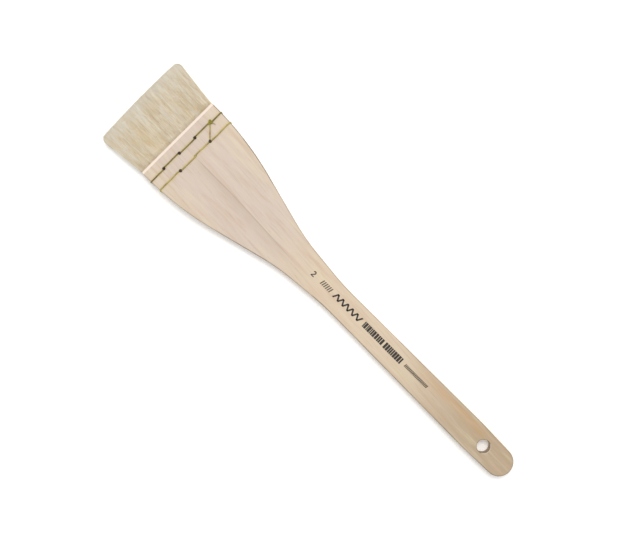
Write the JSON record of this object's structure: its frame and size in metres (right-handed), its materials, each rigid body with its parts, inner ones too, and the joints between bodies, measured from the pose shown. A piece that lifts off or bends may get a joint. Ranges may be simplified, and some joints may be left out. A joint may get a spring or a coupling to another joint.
{
  "type": "flat paint brush",
  "caption": "Flat wash brush: a thin split wooden handle with a hang hole, and a wide tuft of soft pale hair stitched with thread between the cheeks of the wood.",
  "frame": {"origin": "middle of the brush's bounding box, on the plane of its lowest points, with its back down", "axes": "+X along the brush from the hair tips to the tail of the handle, +Y across it, +Z out of its front face"},
  "size_m": [0.2662, 0.0552, 0.01],
  "materials": {
    "wood": "bare, sanded",
    "hair": "soft hair",
    "glue": "hardened resin",
    "thread_olive": "twisted thread",
    "thread_yellow": "twisted thread"
  },
  "bodies": {
    "brush": {"handle": "wood", "hair_root_back": "hair", "hair_root_core": "hair", "hair_root_front": "hair", "root_glue": "glue", "stitch_row_near_hair": "thread_olive", "stitch_row_near_grip": "thread_yellow", "knot": "thread_olive"},
    "tuft": {"tuft_back": "hair", "tuft_core": "hair", "tuft_front": "hair"}
  },
  "joints": [
    {"name": "tuft_bend", "type": "hinge", "parent": "brush", "child": "tuft", "pos_m": [-0.10755, 0, 0.00471], "axis": [0, 1, 0], "range_deg": [-45, 45], "stiffness_Nm_per_rad": 0.02}
  ]
}
